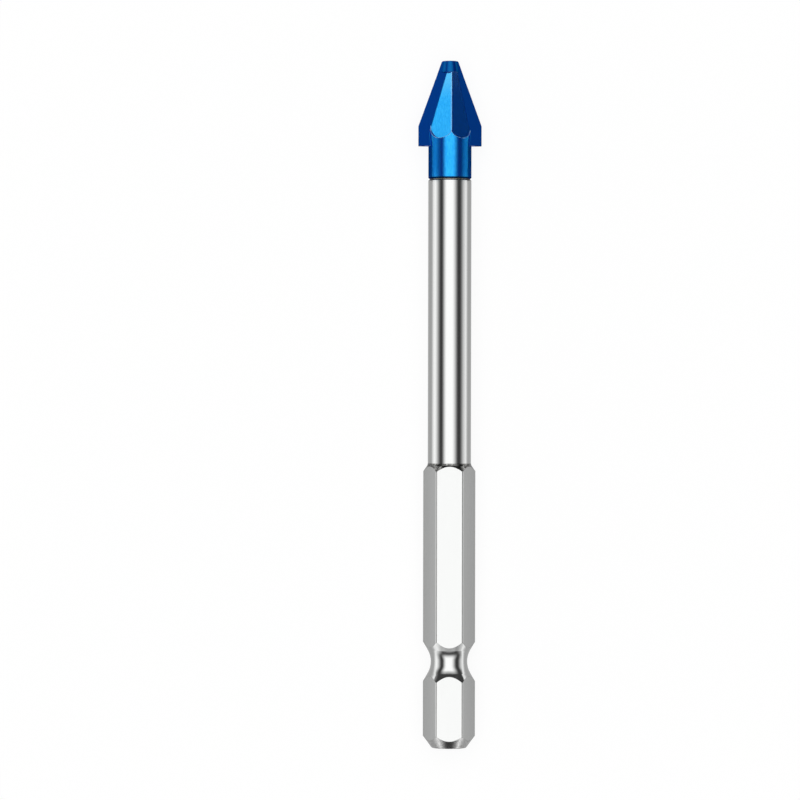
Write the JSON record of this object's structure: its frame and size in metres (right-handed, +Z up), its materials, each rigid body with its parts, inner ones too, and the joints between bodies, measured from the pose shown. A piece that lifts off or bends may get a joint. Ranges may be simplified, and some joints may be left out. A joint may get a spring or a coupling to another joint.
{
  "type": "drill bit",
  "caption": "Carbide drill bit: hexagon quick-change shank with a detent groove, round steel shaft, and a blue spear-shaped head with side wings and a ridged, blunt point.",
  "frame": {"origin": "centre of the driven end face of the hexagon shank", "axes": "+Y along the bit's axis from the driven end to the point, +X across the wings, +Z up, square to the flat of the hexagon opposite the one it lies on"},
  "size_m": [0.0088, 0.0954, 0.0064],
  "materials": {
    "polished_steel": "bright ground and lightly polished, with fine lines along the bar",
    "blue_coating": "glossy blue metallic coating on ground carbide",
    "brazing_alloy": "dull silver brazing alloy"
  },
  "bodies": {
    "root": {"shank": "polished_steel", "carbide_head": "blue_coating", "braze_joint": "brazing_alloy"}
  },
  "joints": []
}
